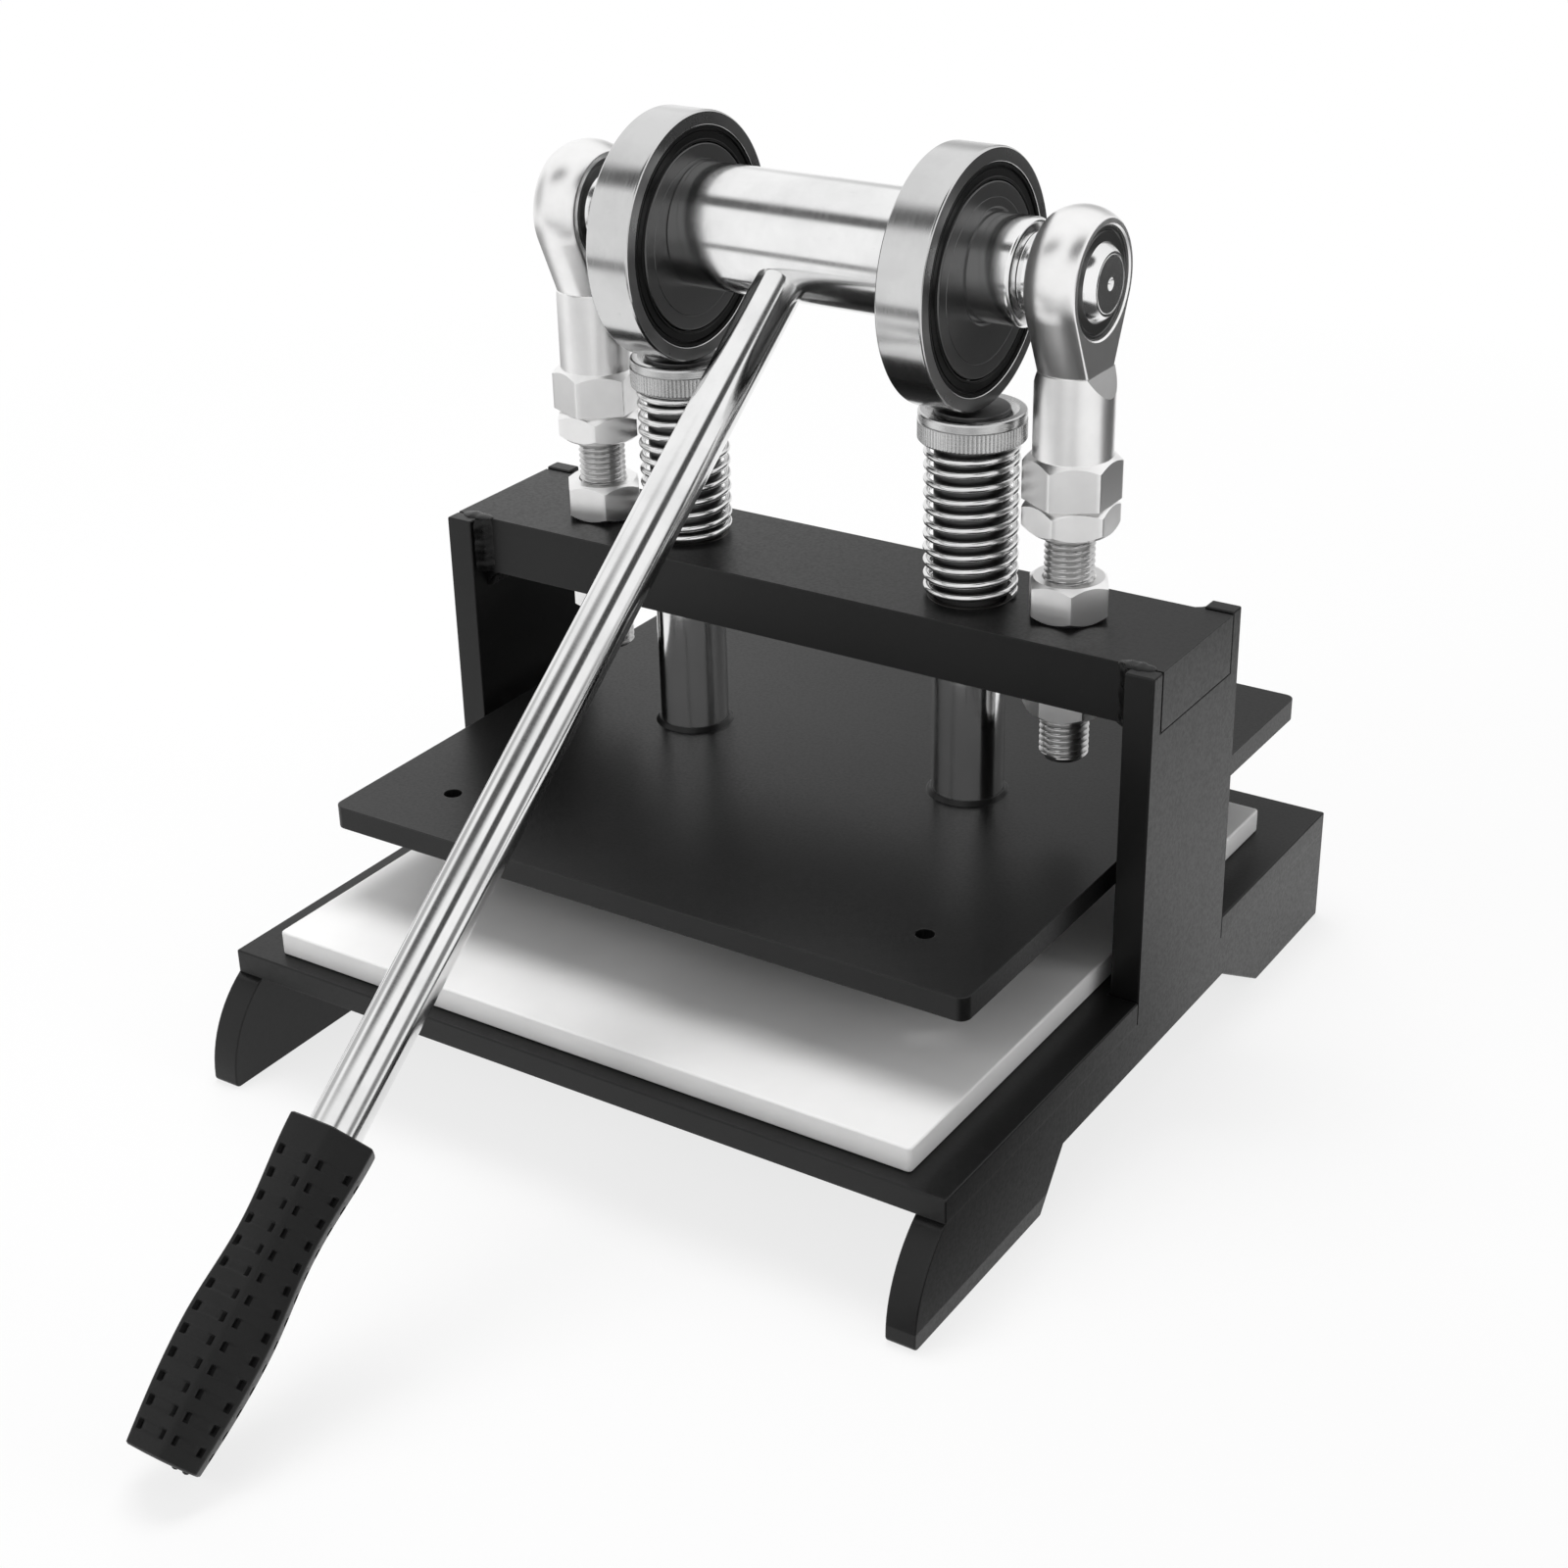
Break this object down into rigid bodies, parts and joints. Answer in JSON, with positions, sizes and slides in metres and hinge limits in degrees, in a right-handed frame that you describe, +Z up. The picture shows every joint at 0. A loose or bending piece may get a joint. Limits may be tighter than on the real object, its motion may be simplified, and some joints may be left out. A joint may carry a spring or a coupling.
{
  "type": "die cutting press",
  "caption": "Bench press for die cutting: a long lever turns a cam shaft whose rollers push a sprung, rod-guided platen down onto a cutting pad on a footed base.",
  "frame": {"origin": "on the bench, under the middle of the whole press with its lever down", "axes": "+X along the cam shaft to the right as the user sees it, +Y from the user to the back, +Z up"},
  "size_m": [0.27, 0.4528, 0.2969],
  "materials": {
    "black_steel": "satin powder coat",
    "white_plastic": "milky matte",
    "plain_steel": "turned, uncoated",
    "ground_steel": "ground bright",
    "bronze": "sliding surface",
    "spring_steel": "bright drawn wire",
    "zinc_steel": "zinc plated satin",
    "dark_steel": "blackened",
    "black_rubber": "matte"
  },
  "bodies": {
    "frame": {"base_plate": "black_steel", "left_side_frame": "black_steel", "right_side_frame": "black_steel", "crossbar": "black_steel", "weld_beads": "black_steel", "left_guide_bush": "bronze", "right_guide_bush": "bronze", "left_stud": "zinc_steel", "right_stud": "zinc_steel", "left_top_nut": "zinc_steel", "right_top_nut": "zinc_steel", "left_bottom_nut": "zinc_steel", "right_bottom_nut": "zinc_steel", "left_jam_nut": "zinc_steel", "right_jam_nut": "zinc_steel", "left_rod_end": "zinc_steel", "right_rod_end": "zinc_steel", "left_race": "bronze", "right_race": "bronze", "left_spring": "spring_steel", "right_spring": "spring_steel"},
    "lever": {"cam_shaft": "ground_steel", "centre_sleeve": "ground_steel", "left_eccentric": "dark_steel", "right_eccentric": "dark_steel", "eccentric_pins": "plain_steel", "left_inner_ring": "dark_steel", "right_inner_ring": "dark_steel", "left_joint_ball": "ground_steel", "right_joint_ball": "ground_steel", "lever_rod": "ground_steel", "grip": "black_rubber"},
    "left_roller": {"left_outer_ring": "ground_steel", "left_seals": "black_rubber"},
    "right_roller": {"right_outer_ring": "ground_steel", "right_seals": "black_rubber"},
    "left_ball_row": {"left_bearing_balls": "ground_steel", "left_cage": "bronze"},
    "right_ball_row": {"right_bearing_balls": "ground_steel", "right_cage": "bronze"},
    "pressing_plate": {"platen": "black_steel", "platen_screws": "plain_steel", "left_guide_rod": "ground_steel", "right_guide_rod": "ground_steel", "left_collar": "plain_steel", "right_collar": "plain_steel"},
    "pad": {"cutting_pad": "white_plastic"}
  },
  "joints": [
    {"name": "lever_turn", "type": "hinge", "parent": "frame", "child": "lever", "pos_m": [0, 0.1039, 0.261], "axis": [-1, 0, 0], "range_deg": [0, 125]},
    {"name": "platen_slide", "type": "slide", "parent": "frame", "child": "pressing_plate", "axis": [0, 0, 1], "range_m": [0, 0.008], "deforming": ["left_spring", "right_spring"]},
    {"name": "left_roller_spin", "type": "hinge", "parent": "lever", "child": "left_roller", "pos_m": [-0.0525, 0.102, 0.25692], "axis": [1, 0, 0], "continuous": true},
    {"name": "left_ball_row_spin", "type": "hinge", "parent": "lever", "child": "left_ball_row", "pos_m": [-0.0525, 0.102, 0.25692], "axis": [1, 0, 0], "continuous": true},
    {"name": "right_roller_spin", "type": "hinge", "parent": "lever", "child": "right_roller", "pos_m": [0.0525, 0.102, 0.25692], "axis": [1, 0, 0], "continuous": true},
    {"name": "right_ball_row_spin", "type": "hinge", "parent": "lever", "child": "right_ball_row", "pos_m": [0.0525, 0.102, 0.25692], "axis": [1, 0, 0], "continuous": true},
    {"name": "pad_slide", "type": "slide", "parent": "frame", "child": "pad", "axis": [0, 1, 0], "range_m": [0, 0.25]}
  ],
  "couplings": [
    {"joint": "platen_slide", "follows": "lever_turn", "m_per_rad": 0.0036557},
    {"joint": "left_ball_row_spin", "follows": "left_roller_spin", "ratio": 0.567},
    {"joint": "right_ball_row_spin", "follows": "right_roller_spin", "ratio": 0.567}
  ]
}
